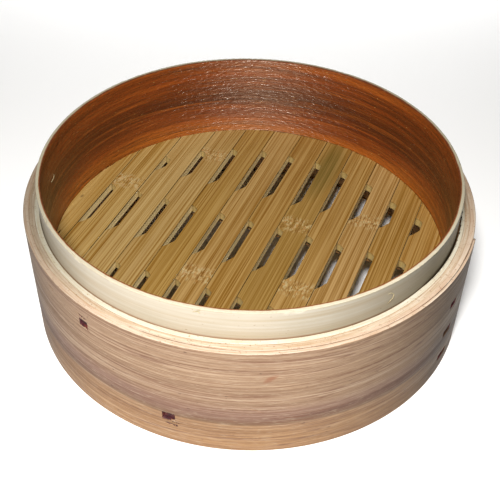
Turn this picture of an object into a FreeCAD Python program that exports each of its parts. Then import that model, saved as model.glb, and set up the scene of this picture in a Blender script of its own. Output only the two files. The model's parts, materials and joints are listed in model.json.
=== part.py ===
import FreeCAD, Part
import math
import os

import Sketcher
from FreeCAD import Placement, Rotation, Vector

# One tier of a stacking bamboo steamer basket.
# Millimetres. +Z is up, the origin is the centre of the round footprint on the surface that the
# tier stands on, +Y runs along the floor slats and +X runs along the battens below them.
# Azimuths are degrees from +X, counted anticlockwise seen from above.

SIZES = [
    ("outer_radius", 127.0, "outer face of the wall, away from the lap"),
    ("wrap_radius", 124.0, "inner face of the outer hoop"),
    ("core_radius", 121.0, "inner face of the core hoop"),
    ("skirt_radius", 119.2, "inner face of the liner hoop, which slides over the collar of the next tier down"),
    ("glue_radius", 118.6, "where the inner hoop is glued into the liner hoop, above the skirt"),
    ("collar_radius", 118.0, "shaved outer face of the collar that stands above the ledge"),
    ("inner_radius", 115.5, "inner face of the inner hoop"),
    ("foot", 0.0, "height of the surface that the tier stands on"),
    ("ledge_height", 73.9, "top edge of the three outer layers"),
    ("total_height", 91.5, "rim of the collar"),
    ("skirt_depth", 19.5, "open depth below the inner hoop"),
    ("joint_gap", 0.3, "width of a glued joint line"),
    ("joint_slant", 76.0, "angle of a scarf joint from the radial direction"),
    ("inner_joint_azimuth", -147.0, "scarf joint of the inner hoop"),
    ("liner_joint_azimuth", -94.0, "scarf joint of the liner hoop"),
    ("core_joint_azimuth", 128.0, "scarf joint of the core hoop"),
    ("lap_azimuth", 2.3, "outer end of the outer hoop"),
    ("lap_sweep", 105.0, "how far round the outer hoop laps over itself"),
    ("lap_step", 1.2, "how far the outer end stands proud"),
    ("lap_gap", 0.15, "glue line between the two turns of the lap"),
    ("lap_tip", 0.3, "thickness of the feathered inner end"),
    ("floor_height", 37.4, "top face of the slats"),
    ("slat_thickness", 5.5, "thickness of a slat"),
    ("slat_pitch", 18.95, "width of a slat with its seam"),
    ("first_seam", -101.1, "X of the seam between the first two slats"),
    ("seam_gap", 0.3, "gap between two slats"),
    ("floor_gap", 0.3, "gap between the slat ends and the inner hoop"),
    ("slot_width", 4.9, "width of a steam slot, cut in one slat only"),
    ("slot_near_slant", 8.0, "length of the slanted near end of a slot"),
    ("slot_far_slant", 3.0, "length of the slanted far end of a slot"),
    ("slot_margin", 25.0, "least slat length kept between a slot and the wall"),
    ("last_slot_margin", 17.5, "the same for the shortest slat that has slots, on the +X side"),
    ("near_row_start", -90.0, "Y where the slots of the near row start, on the -Y side"),
    ("near_row_end", -50.0, "Y where the slots of the near row end"),
    ("middle_row_start", -28.5, "Y where the slots of the middle row start"),
    ("middle_row_end", 15.0, "Y where the slots of the middle row end"),
    ("far_row_start", 37.5, "Y where the slots of the far row start, on the +Y side"),
    ("far_row_end", 89.0, "Y where the slots of the far row end"),
    ("batten_near", -39.25, "Y of the batten between the near and middle rows"),
    ("batten_far", 26.25, "Y of the batten between the middle and far rows"),
    ("batten_width", 15.0, "width of a batten"),
    ("batten_thickness", 6.4, "depth of a batten"),
    ("batten_fit", 0.15, "clearance of a batten in its mortise"),
    ("pin_radius", 1.2, "bamboo pin that holds a slat to a batten"),
    ("pin_bite", 3.5, "depth of a pin in its slat"),
    ("peg_recess", 1.2, "depth of a peg's head below the outer face"),
    ("peg_depth_low", 119.6, "radius where a peg below the inner hoop ends"),
    ("peg_depth_high", 116.8, "radius where a peg that bites the inner hoop ends"),
    ("lap_peg_azimuth", -10.8, "column of pegs through the lap"),
    ("upper_peg_azimuth", -109.0, "high pegs, one on each side"),
    ("lower_peg_azimuth", -87.0, "low pegs, one on each side"),
    ("edge_break", 0.4, "broken edge of a hoop"),
]

SLAT_COUNT = 13
SEAM_COUNT_WITH_SLOTS = 11
SLOT_ROWS = ("near_row", "middle_row", "far_row")
SHORTEST_SLOT = 12.0
PINNED_EDGE = 4.0
# Each peg: height of its centre, width round the wall, height of its section.
LAP_PEGS = ((50.6, 5.6, 2.4), (30.7, 8.4, 3.4), (11.6, 9.0, 2.6))
UPPER_PEG = (60.6, 4.8, 3.0)
LOWER_PEG = (18.4, 6.0, 3.6)
SCARF_LENGTH = 40.0
CUT_MARGIN = 5.0

doc = FreeCAD.newDocument("bamboo_steamer_basket")


# --- the sheet of driving dimensions ---

sheet = doc.addObject("Spreadsheet::Sheet", "Size")
for row, (alias, value, meaning) in enumerate(SIZES, start=1):
    sheet.set("A%d" % row, alias)
    sheet.set("B%d" % row, str(value))
    sheet.set("C%d" % row, meaning)
    sheet.setAlias("B%d" % row, alias)
doc.recompute()


def size(alias):
    return float(sheet.get(alias))


def place(obj, x="0", y="0", z="0", turn=None, axis=Vector(0, 0, 1)):
    """Binds the position of obj, and its turn about axis in degrees, to the sheet."""
    obj.Placement = Placement(Vector(), Rotation(axis, 1.0 if turn else 0.0))
    for prop, expression in (("Base.x", x), ("Base.y", y), ("Base.z", z)):
        obj.setExpression("Placement." + prop, expression)
    if turn:
        obj.setExpression("Placement.Rotation.Angle", turn)


def make(kind, name, **expressions):
    """Adds an object of the document and binds its sizes to the sheet."""
    obj = doc.addObject(kind, name)
    for prop, expression in expressions.items():
        obj.setExpression(prop, expression)
    return obj


def group(kind, name, members):
    """Joins members as a Part::Compound or a Part::MultiFuse."""
    obj = doc.addObject(kind, name)
    if kind == "Part::Compound":
        obj.Links = members
    else:
        obj.Shapes = members
    return obj


def cut(label, base, tools):
    """Takes the tools out of the base, and gives the result the sub-part's label."""
    obj = doc.addObject("Part::Cut", label)
    obj.Base = base
    obj.Tool = group("Part::Compound", label + "_tools", tools)
    return obj


def sketch_on(body, role, name):
    """Adds a sketch to one of the body's own origin planes."""
    sketch = body.newObject("Sketcher::SketchObject", name)
    plane = next(item for item in body.Origin.OriginFeatures if item.Role == role)
    sketch.AttachmentSupport = (plane, [""])
    sketch.MapMode = "FlatFace"
    return sketch


def constrain(sketch, constraint, expression):
    """Adds a sized constraint to the sketch and binds it to the sheet."""
    index = sketch.addConstraint(constraint)
    sketch.setExpression("Constraints[%d]" % index, expression)


def add_circle(sketch, alias):
    """Draws a circle about the origin with the radius of that name."""
    circle = sketch.addGeometry(Part.Circle(Vector(), Vector(0, 0, 1), size(alias)), False)
    sketch.addConstraint(Sketcher.Constraint("Coincident", circle, 3, -1, 1))
    constrain(sketch, Sketcher.Constraint("Radius", circle, size(alias)), "Size." + alias)


def add_outline(sketch, corners):
    """Draws a closed outline through corners, each a pair of names from the sheet."""
    points = [Vector(size(across), size(up), 0) for across, up in corners]
    lines = []
    for index, point in enumerate(points):
        following = points[(index + 1) % len(points)]
        lines.append(sketch.addGeometry(Part.LineSegment(point, following), False))
    for line, following in zip(lines, lines[1:] + lines[:1]):
        sketch.addConstraint(Sketcher.Constraint("Coincident", line, 2, following, 1))
    for line, (across, up) in zip(lines, corners):
        constrain(sketch, Sketcher.Constraint("DistanceX", -1, 1, line, 1, size(across)), "Size." + across)
        constrain(sketch, Sketcher.Constraint("DistanceY", -1, 1, line, 1, size(up)), "Size." + up)


def break_edges(body, base):
    """Bevels the circular edges of a hoop's top and bottom."""
    doc.recompute()
    ends = (base.Shape.BoundBox.ZMin, base.Shape.BoundBox.ZMax)
    names = []
    for number, edge in enumerate(base.Shape.Edges, start=1):
        height = edge.BoundBox
        if height.ZLength < 1e-6 and min(abs(height.ZMin - end) for end in ends) < 1e-6:
            names.append("Edge%d" % number)
    bevel = body.newObject("PartDesign::Chamfer", base.Name + "_broken_edges")
    bevel.Base = (base, names)
    bevel.setExpression("Size", "Size.edge_break")
    body.Tip = bevel


# --- pegs and joints that pass through the hoops ---

def peg_box(name, peg, start, end, offset="0"):
    """A flat bamboo peg lying along +X from radius start to radius end."""
    centre, width, height = peg
    box = make("Part::Box", name, Length="%s - %s" % (end, start), Width=str(width), Height=str(height))
    place(box, start, "%s - %s / 2" % (offset, width), "%s - %s / 2" % (centre, height))
    return box


def peg_start(peg):
    """Pegs above the foot of the inner hoop bite into it; lower ones stop in the liner hoop."""
    return "Size.peg_depth_high" if peg[0] > size("skirt_depth") + peg[2] else "Size.peg_depth_low"


def peg_column(name, pegs, azimuth, end):
    """Pegs one above the other at one azimuth, from their depth in the wall out to radius end."""
    boxes = [peg_box("%s_%d" % (name, number), peg, peg_start(peg), end) for number, peg in enumerate(pegs, 1)]
    column = group("Part::Compound", name, boxes)
    place(column, turn=azimuth)
    return column


HEAD = "Size.outer_radius - Size.peg_recess"
OUTSIDE = "Size.outer_radius + %s" % CUT_MARGIN
PEG_GROUPS = (
    ("lap_pegs", LAP_PEGS, ("Size.lap_peg_azimuth",)),
    ("upper_pegs", (UPPER_PEG,), ("Size.upper_peg_azimuth", "Size.upper_peg_azimuth + 180")),
    ("lower_pegs", (LOWER_PEG,), ("Size.lower_peg_azimuth", "Size.lower_peg_azimuth + 180")),
)


def make_pegs():
    nodes = []
    for label, pegs, azimuths in PEG_GROUPS:
        columns = [peg_column("%s_at_%d" % (label, turn), pegs, azimuth, HEAD) for turn, azimuth in enumerate(azimuths)]
        nodes.append(group("Part::Compound", label, columns))
    return nodes


def peg_holes(owner):
    """Holes that run from the depth of each peg to outside the wall."""
    holes = []
    for label, pegs, azimuths in PEG_GROUPS:
        for turn, azimuth in enumerate(azimuths):
            holes.append(peg_column("%s_%s_hole_%d" % (owner, label, turn), pegs, azimuth, OUTSIDE))
    return holes


def joint_slit(owner, azimuth, radius):
    """The slanted glue line where the two ends of a bent strip meet."""
    slit = make("Part::Box", owner + "_joint", Length=str(SCARF_LENGTH), Width="Size.joint_gap",
                Height="Size.total_height + %s" % (2 * CUT_MARGIN))
    line = "(%s + Size.joint_slant) * 1 deg" % azimuth
    middle = "(%s) * 1 deg" % azimuth
    place(slit,
          "%s * cos(%s) - %s * cos(%s)" % (radius, middle, SCARF_LENGTH / 2, line),
          "%s * sin(%s) - %s * sin(%s)" % (radius, middle, SCARF_LENGTH / 2, line),
          "-%s" % CUT_MARGIN, turn="%s + Size.joint_slant" % azimuth)
    return slit


# --- the four hoops of the wall ---

def turned_hoop(label, corners, azimuth):
    """A hoop turned from its section, with its joint and peg holes still to cut."""
    body = doc.addObject("PartDesign::Body", label + "_ring")
    sketch = sketch_on(body, "XZ_Plane", label + "_section")
    add_outline(sketch, corners)
    ring = body.newObject("PartDesign::Revolution", label + "_turned")
    ring.Profile = sketch
    ring.ReferenceAxis = (sketch, ["V_Axis"])
    ring.Angle = 360
    break_edges(body, ring)
    return body, [joint_slit(label, azimuth, "(Size.inner_radius + Size.core_radius) / 2")] + peg_holes(label)


def make_inner_hoop():
    """The tall inner hoop: its shaved top stands above the ledge as the collar."""
    body, tools = turned_hoop("inner_hoop", [
        ("inner_radius", "skirt_depth"),
        ("glue_radius", "skirt_depth"),
        ("glue_radius", "ledge_height"),
        ("collar_radius", "ledge_height"),
        ("collar_radius", "total_height"),
        ("inner_radius", "total_height"),
    ], "Size.inner_joint_azimuth")
    tools += [batten_blank("inner_hoop_mortise_%s" % side, side, "Size.batten_fit") for side in ("near", "far")]
    return cut("inner_hoop", body, tools)


def make_liner_hoop():
    """The pale hoop: its foot is opened out a little, as the skirt that slides over a collar."""
    body, tools = turned_hoop("liner_hoop", [
        ("skirt_radius", "foot"),
        ("core_radius", "foot"),
        ("core_radius", "ledge_height"),
        ("glue_radius", "ledge_height"),
        ("glue_radius", "skirt_depth"),
        ("skirt_radius", "skirt_depth"),
    ], "Size.liner_joint_azimuth")
    return cut("liner_hoop", body, tools)


def make_core_hoop():
    """The rough middle hoop, of constant thickness from the foot up to the ledge."""
    label = "core_hoop"
    body = doc.addObject("PartDesign::Body", label + "_ring")
    sketch = sketch_on(body, "XY_Plane", label + "_section")
    add_circle(sketch, "core_radius")
    add_circle(sketch, "wrap_radius")
    ring = body.newObject("PartDesign::Pad", label + "_pad")
    ring.Profile = sketch
    ring.setExpression("Length", "Size.ledge_height")
    break_edges(body, ring)
    middle = "(Size.core_radius + Size.wrap_radius) / 2"
    return cut(label, body, [joint_slit(label, "Size.core_joint_azimuth", middle)] + peg_holes(label))


def spiral(radius_at, start, end, points=16):
    """A smooth curve about Z whose radius changes with the clockwise turn from the lap's end."""
    spots = []
    for index in range(points):
        turn = start + (end - start) * index / (points - 1)
        azimuth = math.radians(size("lap_azimuth") - turn)
        spots.append(Vector(radius_at(turn) * math.cos(azimuth), radius_at(turn) * math.sin(azimuth), 0))
    curve = Part.BSplineCurve()
    curve.interpolate(spots)
    return curve.toShape()


def make_outer_hoop():
    """The outer hoop is one strip that goes once round and then runs under its own end.

    In the lap both ends are shaved to a long taper, so the wall stays nearly even there, and the
    outer end stands proud by the step.
    """
    wrap = size("wrap_radius")
    outer = size("outer_radius")
    sweep = size("lap_sweep")
    step = size("lap_step")
    tip = sweep * (1 - size("lap_tip") / (outer - wrap))

    def surface(turn):
        return outer + step * max(0.0, 1 - turn / sweep)

    def glue_line(turn):
        return wrap + (outer - wrap) * (1 - turn / sweep)

    def under_lap(turn):
        return glue_line(turn) + size("lap_gap")

    # Each long curve is drawn in two pieces, so that no piece goes far past half a turn.
    outside_split = 240
    inside_split = 180
    closing = tip + math.degrees(3 * size("lap_gap") / wrap)
    edges = [
        spiral(surface, 0, sweep),
        spiral(surface, sweep, outside_split),
        spiral(surface, outside_split, 360),
        spiral(glue_line, 0, tip),
        spiral(lambda turn: wrap, tip, 0),
        spiral(lambda turn: wrap, 360, inside_split),
        spiral(lambda turn: wrap, inside_split, closing),
        spiral(under_lap, closing, 0),
    ]
    loop = []
    for edge, following in zip(edges, edges[1:] + edges[:1]):
        loop.append(edge)
        end = edge.Vertexes[-1].Point
        start = following.Vertexes[0].Point
        if end.distanceToPoint(start) > 1e-6:
            loop.append(Part.LineSegment(end, start).toShape())
    face = Part.Face(Part.Wire(loop))
    strip = doc.addObject("Part::Feature", "outer_hoop_strip")
    strip.Shape = face.extrude(Vector(0, 0, size("ledge_height")))
    return cut("outer_hoop", strip, peg_holes("outer_hoop"))


# --- the slatted floor ---

def batten_blank(name, side, fit="0"):
    """A batten's section along X, grown by fit on every side."""
    box = make("Part::Box", name, Length="2 * Size.outer_radius", Width="Size.batten_width + 2 * %s" % fit,
               Height="Size.batten_thickness + 2 * %s" % fit)
    place(box, "-Size.outer_radius", "Size.batten_%s - Size.batten_width / 2 - %s" % (side, fit),
          "Size.floor_height - Size.slat_thickness - Size.batten_thickness - %s" % fit)
    return box


def slat_edges(index):
    """X of a slat's two long edges, as expressions."""
    left = "Size.first_seam + %d * Size.slat_pitch + Size.seam_gap / 2" % (index - 1)
    right = "Size.first_seam + %d * Size.slat_pitch - Size.seam_gap / 2" % index
    if index == 0:
        left = "-Size.inner_radius"
    if index == SLAT_COUNT - 1:
        right = "Size.inner_radius"
    return left, right


def seam_x(index):
    return size("first_seam") + index * size("slat_pitch")


def half_chord(position):
    return math.sqrt(size("inner_radius") ** 2 - position ** 2)


def slot_span(seam, row):
    """Start and end of a slot along Y, as numbers and as expressions kept clear of the wall."""
    margin = "last_slot_margin" if seam == SEAM_COUNT_WITH_SLOTS - 1 else "slot_margin"
    limit = half_chord(seam_x(seam)) - size(margin)
    start = max(size(row + "_start"), -limit)
    end = min(size(row + "_end"), limit)
    across = "(Size.first_seam + %d * Size.slat_pitch)" % seam
    reach = "(sqrt(Size.inner_radius ^ 2 - %s ^ 2) - Size.%s)" % (across, margin)
    low = "max(Size.%s_start; -%s)" % (row, reach)
    high = "min(Size.%s_end; %s)" % (row, reach)
    return start, end, low, high


def slots_of_slat(index):
    """The steam slots cut into the left edge of one slat, each with slanted ends."""
    seam = index - 1
    slots = []
    if not 0 <= seam < SEAM_COUNT_WITH_SLOTS:
        return slots
    for row in SLOT_ROWS:
        start, end, low, high = slot_span(seam, row)
        if end - start < SHORTEST_SLOT:
            continue
        slot = make("Part::Wedge", "slat_%02d_%s_slot" % (index + 1, row),
                    Xmin=low, Xmax=high, Ymin="-Size.seam_gap", Ymax="Size.slot_width",
                    Zmin="-1", Zmax="Size.slat_thickness + 1",
                    X2min=low + " + Size.slot_near_slant", X2max=high + " - Size.slot_far_slant",
                    Z2min="-1", Z2max="Size.slat_thickness + 1")
        # Half a turn about the diagonal of X and Y swaps them, so the slot's length lies along Y.
        slot.Placement = Placement(Vector(), Rotation(Vector(1, 1, 0), 180))
        slot.setExpression("Placement.Base.x", "Size.first_seam + %d * Size.slat_pitch" % seam)
        slot.setExpression("Placement.Base.z", "Size.floor_height")
        slots.append(slot)
    return slots


def pin_spots():
    """Slat index, X expression and batten of each pin that has enough slat round it."""
    spots = []
    for index in range(SLAT_COUNT):
        left, right = slat_edges(index)
        left_x = max(-size("inner_radius"), seam_x(index - 1))
        right_x = min(size("inner_radius"), seam_x(index))
        middle = (left_x + right_x) / 2
        for side in ("near", "far"):
            if half_chord(middle) - abs(size("batten_" + side)) >= PINNED_EDGE:
                spots.append((index, "((%s) + (%s)) / 2" % (left, right), side))
    return spots


def pin(name, spot):
    """A round pin from the batten's underside up into the slat."""
    _, across, side = spot
    cylinder = make("Part::Cylinder", name, Radius="Size.pin_radius",
                    Height="Size.batten_thickness + Size.pin_bite")
    place(cylinder, across, "Size.batten_" + side,
          "Size.floor_height - Size.slat_thickness - Size.batten_thickness")
    return cylinder


def make_slat(index):
    """One floor slat: a strip of the round floor with its slots and blind pin holes."""
    label = "slat_%02d" % (index + 1)
    left, right = slat_edges(index)
    strip = make("Part::Box", label + "_strip", Length="(%s) - (%s)" % (right, left),
                 Width="2 * Size.inner_radius", Height="Size.slat_thickness")
    place(strip, left, "-Size.inner_radius", "Size.floor_height - Size.slat_thickness")
    disc = make("Part::Cylinder", label + "_disc", Radius="Size.inner_radius - Size.floor_gap",
                Height="Size.slat_thickness")
    place(disc, z="Size.floor_height - Size.slat_thickness")
    blank = doc.addObject("Part::Common", label + "_blank")
    blank.Base = strip
    blank.Tool = disc
    tools = slots_of_slat(index)
    for spot in pin_spots():
        if spot[0] == index:
            tools.append(pin("%s_pin_hole_%s" % (label, spot[2]), spot))
    return cut(label, blank, tools)


def make_batten(side):
    """A batten under the slats, with its rounded ends seated in the inner hoop's mortises."""
    label = "batten_" + side
    disc = make("Part::Cylinder", label + "_disc", Radius="Size.glue_radius - Size.batten_fit",
                Height="Size.total_height")
    blank = doc.addObject("Part::Common", label + "_blank")
    blank.Base = batten_blank(label + "_strip", side)
    blank.Tool = disc
    holes = [pin("%s_hole_%02d" % (label, spot[0] + 1), spot) for spot in pin_spots() if spot[2] == side]
    return cut(label, blank, holes)


def make_batten_pins():
    pins = [pin("pin_%02d_%s" % (spot[0] + 1, spot[2]), spot) for spot in pin_spots()]
    return group("Part::Compound", "batten_pins", pins)


# --- build, check and write ---

def check(obj):
    """Stops the build if a sub-part failed to compute or has a bad shape."""
    shape = obj.Shape
    if shape.isNull() or not shape.isValid() or not shape.Solids:
        raise RuntimeError(obj.Label + " has no valid solid")


nodes = [
    make_outer_hoop(),
    make_core_hoop(),
    make_liner_hoop(),
    make_inner_hoop(),
]
nodes += [make_slat(index) for index in range(SLAT_COUNT)]
nodes += [make_batten("near"), make_batten("far"), make_batten_pins()]
nodes += make_pegs()
doc.recompute()

for item in doc.Objects:
    if "Invalid" in item.State or "Error" in item.State:
        raise RuntimeError(item.Name + " did not compute: " + str(item.State))
os.makedirs("parts", exist_ok=True)
for node in nodes:
    check(node)
for node in nodes:
    node.Shape.exportStep("parts/%s.step" % node.Label)
    print("%-12s %2d solids %10.1f mm3" % (node.Label, len(node.Shape.Solids), node.Shape.Volume))
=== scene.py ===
import json
import math

import bmesh
import bpy
import numpy as np
from mathutils import Matrix, Vector


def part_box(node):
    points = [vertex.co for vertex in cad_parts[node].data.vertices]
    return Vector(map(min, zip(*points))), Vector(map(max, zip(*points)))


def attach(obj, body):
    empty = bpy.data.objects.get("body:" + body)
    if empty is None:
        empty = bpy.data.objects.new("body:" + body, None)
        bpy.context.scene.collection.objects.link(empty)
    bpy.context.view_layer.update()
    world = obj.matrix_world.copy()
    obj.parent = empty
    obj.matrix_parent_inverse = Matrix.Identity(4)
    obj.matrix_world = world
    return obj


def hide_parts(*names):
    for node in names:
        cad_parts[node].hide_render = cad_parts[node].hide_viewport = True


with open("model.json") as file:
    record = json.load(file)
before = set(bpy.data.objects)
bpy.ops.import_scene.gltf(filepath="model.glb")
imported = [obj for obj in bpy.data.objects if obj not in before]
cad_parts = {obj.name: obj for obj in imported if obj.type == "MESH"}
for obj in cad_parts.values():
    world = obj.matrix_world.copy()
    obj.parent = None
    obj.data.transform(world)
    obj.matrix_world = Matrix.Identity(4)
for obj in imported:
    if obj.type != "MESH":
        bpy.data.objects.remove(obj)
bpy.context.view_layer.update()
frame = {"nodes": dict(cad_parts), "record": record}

# Looks of one bamboo steamer tier. Sizes are millimetres. The main ones are read from the CAD nodes
# and from the record's mounts.
# Azimuths are degrees from +X, counted anticlockwise seen from above.
# The floor slats run along Y and the battens under them run along X.

MM = 0.001
RNG = np.random.default_rng(41)
NOISE_TABLE = RNG.random((64, 256, 256))


# --- where the CAD parts are ---

def box_mm(node):
    """The lowest and highest corner of a CAD node."""
    low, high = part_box(node)
    return np.array(low) / MM, np.array(high) / MM


def islands(node):
    """The vertices of each separate solid in a CAD node, from the lowest solid to the highest."""
    mesh = frame["nodes"][node].data
    points = np.array([v.co for v in mesh.vertices]) / MM
    # vertices on a sharp edge are stored more than once, so they are joined by place
    _, owner = np.unique(np.round(points, 3), axis=0, return_inverse=True)
    owner = owner.reshape(-1)
    label = np.arange(owner.max() + 1)
    edges = owner[np.array([e.vertices[:] for e in mesh.edges])]
    while True:
        low = np.minimum(label[edges[:, 0]], label[edges[:, 1]])
        before = label.copy()
        np.minimum.at(label, edges[:, 0], low)
        np.minimum.at(label, edges[:, 1], low)
        label = label[label]
        if (label == before).all():
            break
    found = [points[label[owner] == k] for k in np.unique(label)]
    return sorted(found, key=lambda p: (p[:, 2].mean(), p[:, 0].mean()))


OUTER_LOW, OUTER_HIGH = box_mm("outer_hoop")
INNER_LOW, INNER_HIGH = box_mm("inner_hoop")
FLOOR_HIGH = box_mm("slat_07")[1]
MOUNT_RADII = {mount["name"]: mount["dims"].get("r_mm") for mount in frame["record"]["mounts"]}

# Heights, and radii of the faces between the four hoops.
FOOT = OUTER_LOW[2]
LEDGE = OUTER_HIGH[2]
RIM = INNER_HIGH[2]
SKIRT_TOP = INNER_LOW[2]
FLOOR = FLOOR_HIGH[2]
R_OUT = OUTER_HIGH[1]
R_WRAP = box_mm("core_hoop")[1][1]
R_CORE = box_mm("liner_hoop")[1][1]
R_GLUE = INNER_HIGH[1]
R_FLOOR = FLOOR_HIGH[1]
R_INNER = R_FLOOR + 0.3
R_COLLAR = MOUNT_RADII["collar"]
R_SKIRT = MOUNT_RADII["skirt"]

# These are on no node's box, so they repeat the CAD source's own values.
# The lap of the outer hoop: azimuth of its outer end, how far it goes round, the end's step and
# the gap under it. Then the slits where the other hoops' ends meet, which run at a slant.
LAP_AZIMUTH = 2.3
LAP_SWEEP = 105.0
LAP_STEP = 1.2
LAP_GAP = 0.15
INNER_JOINT = -147.0
LINER_JOINT = -90.0
CORE_JOINT = 128.0
SLIT = 0.3
SCARF_SLOPE = math.tan(math.radians(76.0))

SLAT_NAMES = ["slat_%02d" % n for n in range(1, 14)]
SLOT_DEPTH = 4.75


# --- noise and small shapes in numbers ---

def noise(u, v, seed):
    """Smooth value noise from 0 to 1."""
    table = NOISE_TABLE[seed % len(NOISE_TABLE)]
    u, v = np.broadcast_arrays(np.asarray(u, float), np.asarray(v, float))
    iu, iv = np.floor(u).astype(int), np.floor(v).astype(int)
    fu, fv = u - iu, v - iv
    fu, fv = fu * fu * (3 - 2 * fu), fv * fv * (3 - 2 * fv)
    cells = table.shape[0]
    u0, u1 = iu % cells, (iu + 1) % cells
    v0, v1 = iv % cells, (iv + 1) % cells
    low = table[u0, v0] * (1 - fu) + table[u1, v0] * fu
    high = table[u0, v1] * (1 - fu) + table[u1, v1] * fu
    return low * (1 - fv) + high * fv


def swing(amount, u, v, seed):
    """Value noise that goes half the amount either way."""
    return amount * (noise(u, v, seed) - 0.5)


def ridges(x, seed, spacing, sharp=3.0):
    """Thin grooves, 1 at the bottom of each, with an uneven spacing."""
    wave = noise(x / spacing, 0.5, seed)
    return unit(1 - np.abs(wave - 0.5) * 2 * sharp)


def unit(x):
    """x kept between 0 and 1."""
    return np.clip(x, 0, 1)


def bump(x, centre, half, soft):
    """1 inside centre +- half, falling to 0 over soft."""
    return unit((half + soft - np.abs(x - centre)) / soft)


def axes_at(azimuth):
    """Outward, and anticlockwise along the hoop, at an azimuth."""
    a = math.radians(azimuth)
    return np.array([math.cos(a), math.sin(a), 0.0]), np.array([-math.sin(a), math.cos(a), 0.0])


def turned(azimuth, radius, z):
    """Points at an azimuth, radius and height."""
    a = np.radians(azimuth)
    return np.stack(np.broadcast_arrays(radius * np.cos(a), radius * np.sin(a), z), -1)


def arc_from(centre, azimuth, radius):
    """Length along a circle from one azimuth to another."""
    return np.radians(wrapped(azimuth, centre)) * radius


def wrapped(azimuth, centre):
    """Degrees from centre, between -180 and 180."""
    return (np.asarray(azimuth) - centre + 180.0) % 360.0 - 180.0


# --- meshes ---

def placed(name, data):
    """A new object in the scene."""
    made = bpy.data.objects.new(name, data)
    bpy.context.scene.collection.objects.link(made)
    return made


def add_mesh(name, points, faces, materials, node, material_of_face=None):
    """One piece of the looks. It stands in for a CAD node, unless node is None. Its faces take the
    first material, unless each one's material is given."""
    mesh = bpy.data.meshes.new(name)
    mesh.from_pydata([tuple(p) for p in np.asarray(points) * MM], [], [tuple(f) for f in faces])
    for material in materials:
        mesh.materials.append(material)
    if material_of_face:
        mesh.polygons.foreach_set("material_index", material_of_face)
    work = bmesh.new()
    work.from_mesh(mesh)
    bmesh.ops.remove_doubles(work, verts=work.verts, dist=2e-6)
    bmesh.ops.dissolve_degenerate(work, edges=work.edges, dist=1e-6)
    bmesh.ops.recalc_face_normals(work, faces=work.faces)
    work.to_mesh(mesh)
    work.free()
    mesh.polygons.foreach_set("use_smooth", [True] * len(mesh.polygons))
    piece = placed(name, mesh)
    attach(piece, "root")
    if node:
        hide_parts(node)
    return piece


def loop_faces(columns, rows):
    """Quads between neighbouring rings of points, and the two end caps."""
    faces = []
    for c in range(columns - 1):
        n = c + 1
        for r in range(rows):
            s = (r + 1) % rows
            faces.append((c * rows + r, c * rows + s, n * rows + s, n * rows + r))
    faces.append(tuple(range(rows))[::-1])
    faces.append(tuple(range((columns - 1) * rows, columns * rows)))
    return faces


def strip_loop(z_low, z_high, edge, outer_rows, inner_rows, flat=7, extra_rows=()):
    """The outline of a hoop's section, free of its radii, so that each column can have its own.

    It gives four arrays: side (0 outer, 1 top, 2 inner, 3 bottom), share of the thickness, height,
    and the distance in from the face.
    """
    rows = np.unique(np.concatenate([np.linspace(z_low + edge, z_high - edge, outer_rows), extra_rows]))
    corner = np.radians([22.5, 45.0, 67.5])
    side, share, z, inset = [], [], [], []

    def put(kind, s, height, depth):
        side.append(kind)
        share.append(s)
        z.append(height)
        inset.append(depth)

    def round_corner(kind, s, up, angles):
        middle = z_high - edge if up > 0 else z_low + edge
        for t in angles:
            put(kind, s, middle + up * edge * math.sin(t), (2 * s - 1) * (edge - edge * math.cos(t)))

    # share 1 is the outer face, share 0 the inner one; inset is the distance in from that face
    for height in rows:
        put(0, 1.0, height, 0.0)
    round_corner(1, 1.0, 1.0, corner)
    for s in np.linspace(1.0, 0.0, flat):
        put(1, s, z_high, edge * (2 * s - 1))
    round_corner(1, 0.0, 1.0, corner[::-1])
    for height in np.linspace(z_high - edge, z_low + edge, inner_rows):
        put(2, 0.0, height, 0.0)
    round_corner(3, 0.0, -1.0, corner)
    for s in np.linspace(0.0, 1.0, 4):
        put(3, s, z_low, edge * (2 * s - 1))
    round_corner(3, 1.0, -1.0, corner[::-1])
    return np.array(side), np.array(share), np.array(z), np.array(inset)


def sweep_strip(name, azimuths, radii, section, relief, materials, by_side, node, slant=0.0,
                override=None):
    """Sweeps a section round the axis.

    radii gives the inner and the outer radius, each one number or one for each column. relief gives
    the radial and the vertical change of every point, and by_side the material of each side.
    override may change a face's material.
    """
    side, share, z, inset = section
    inner, outer = (np.broadcast_to(r, azimuths.shape) for r in radii)
    radius = inner[:, None] + (outer - inner)[:, None] * share - inset
    height = np.broadcast_to(z, radius.shape)
    turn = np.broadcast_to(azimuths[:, None], radius.shape)
    out, up = relief(turn, radius, height, np.broadcast_to(side, radius.shape))
    middle = radius.mean()
    lean = np.degrees(slant * (radius - middle) / middle)
    points = turned(turn + lean, radius + out, height + up).reshape(-1, 3)
    columns, rows = radius.shape
    faces = loop_faces(columns, rows)
    indices = np.tile([by_side[k] for k in side], (columns - 1, 1))
    if override:
        indices = override(turn, height, side, indices)
    indices = indices.reshape(-1).tolist() + [by_side[1], by_side[1]]
    return add_mesh(name, points, faces, materials, node, indices)


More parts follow.
